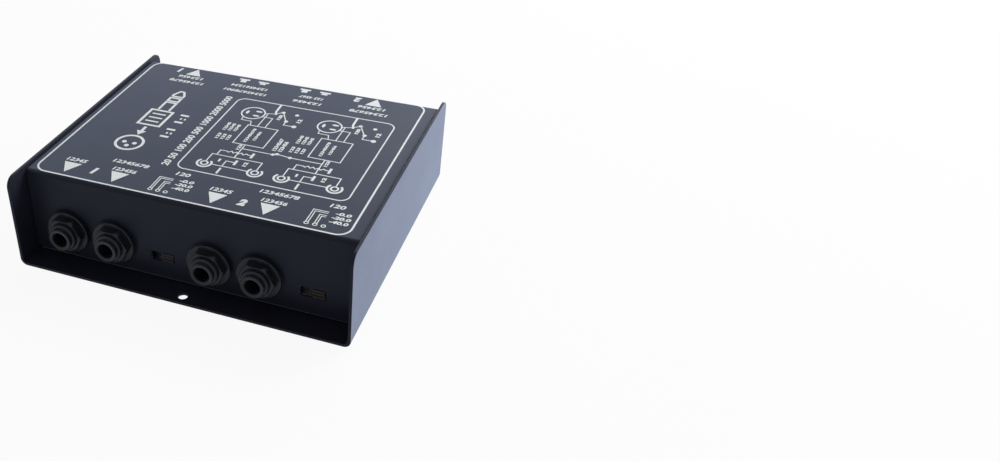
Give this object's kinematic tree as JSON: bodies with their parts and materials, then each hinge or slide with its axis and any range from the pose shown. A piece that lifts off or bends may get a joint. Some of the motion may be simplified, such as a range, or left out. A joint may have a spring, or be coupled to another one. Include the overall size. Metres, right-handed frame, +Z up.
{
  "type": "direct injection box",
  "caption": "Passive stereo direct box: folded steel case with jack sockets and pad switches in front, balanced outputs and push switches behind.",
  "frame": {"origin": "under the middle of the box, on the surface that its feet stand on", "axes": "+X to the right when the jack panel is faced, +Y from the jack panel to the output panel, +Z up"},
  "size_m": [0.145, 0.128, 0.044],
  "materials": {
    "case_paint": "satin black powder coat with white print on the top",
    "jack_plastic": "moulded black plastic with lightly polished edges",
    "knob_plastic": "black plastic with worn grey ribs",
    "button_plastic": "black plastic, slightly glossy",
    "foot_rubber": "matt black rubber",
    "screw_black": "black zinc-plated steel",
    "zinc_steel": "bright zinc-plated steel",
    "contact_metal": "gold-washed brass",
    "connector_shell": "black lacquered die-cast shell",
    "insert_plastic": "black moulded plastic",
    "board_laminate": "green solder mask on glass-epoxy board",
    "lamination_steel": "stacked grey lamination steel",
    "bobbin_plastic": "off-white moulded nylon",
    "copper_wire": "enamelled copper wire",
    "resistor_body": "beige lacquered carbon-film body",
    "capacitor_body": "orange epoxy dip",
    "print_ink": "white screen-printed ink, on the marks printed on the top"
  },
  "bodies": {
    "case": {"chassis_tray": "case_paint", "top_cover": "case_paint", "rubber_feet": "foot_rubber", "cover_screws": "screw_black", "standoff_screws": "screw_black", "output_screws": "screw_black", "cover_clinch_nuts": "zinc_steel", "board_standoffs": "zinc_steel", "board_screws": "zinc_steel", "output_nuts": "zinc_steel", "main_board": "board_laminate", "input_a_jack_body": "jack_plastic", "input_a_jack_contacts": "contact_metal", "link_a_jack_body": "jack_plastic", "link_a_jack_contacts": "contact_metal", "input_b_jack_body": "jack_plastic", "input_b_jack_contacts": "contact_metal", "link_b_jack_body": "jack_plastic", "link_b_jack_contacts": "contact_metal", "jack_collars": "jack_plastic", "jack_nuts": "jack_plastic", "pad_a_switch_frame": "zinc_steel", "pad_a_switch_base": "insert_plastic", "pad_a_switch_pins": "contact_metal", "pad_b_switch_frame": "zinc_steel", "pad_b_switch_base": "insert_plastic", "pad_b_switch_pins": "contact_metal", "mode_switch_body": "insert_plastic", "mode_switch_pins": "contact_metal", "lift_switch_body": "insert_plastic", "lift_switch_pins": "contact_metal", "output_a_shell": "connector_shell", "output_a_insert": "insert_plastic", "output_a_pins": "contact_metal", "output_b_shell": "connector_shell", "output_b_insert": "insert_plastic", "output_b_pins": "contact_metal", "transformer_a_core": "lamination_steel", "transformer_a_bobbin": "bobbin_plastic", "transformer_a_winding": "copper_wire", "transformer_a_pins": "contact_metal", "transformer_a_strap": "zinc_steel", "transformer_b_core": "lamination_steel", "transformer_b_bobbin": "bobbin_plastic", "transformer_b_winding": "copper_wire", "transformer_b_pins": "contact_metal", "transformer_b_strap": "zinc_steel", "pad_resistors": "resistor_body", "ground_capacitors": "capacitor_body"},
    "pad_a_knob": {"pad_a_switch_knob": "knob_plastic"},
    "pad_b_knob": {"pad_b_switch_knob": "knob_plastic"},
    "mode_button": {"mode_plunger": "bobbin_plastic", "mode_button_cap": "button_plastic"},
    "lift_button": {"lift_plunger": "bobbin_plastic", "lift_button_cap": "button_plastic"}
  },
  "joints": [
    {"name": "pad_a_slide", "type": "slide", "parent": "case", "child": "pad_a_knob", "axis": [-1, 0, 0], "range_m": [0, 0.0052]},
    {"name": "pad_b_slide", "type": "slide", "parent": "case", "child": "pad_b_knob", "axis": [-1, 0, 0], "range_m": [0, 0.0052]},
    {"name": "mode_press", "type": "slide", "parent": "case", "child": "mode_button", "axis": [0, -1, 0], "range_m": [0, 0.003], "stiffness_N_per_m": 300, "springref_m": -0.002},
    {"name": "lift_press", "type": "slide", "parent": "case", "child": "lift_button", "axis": [0, -1, 0], "range_m": [0, 0.003], "stiffness_N_per_m": 300, "springref_m": -0.002}
  ]
}
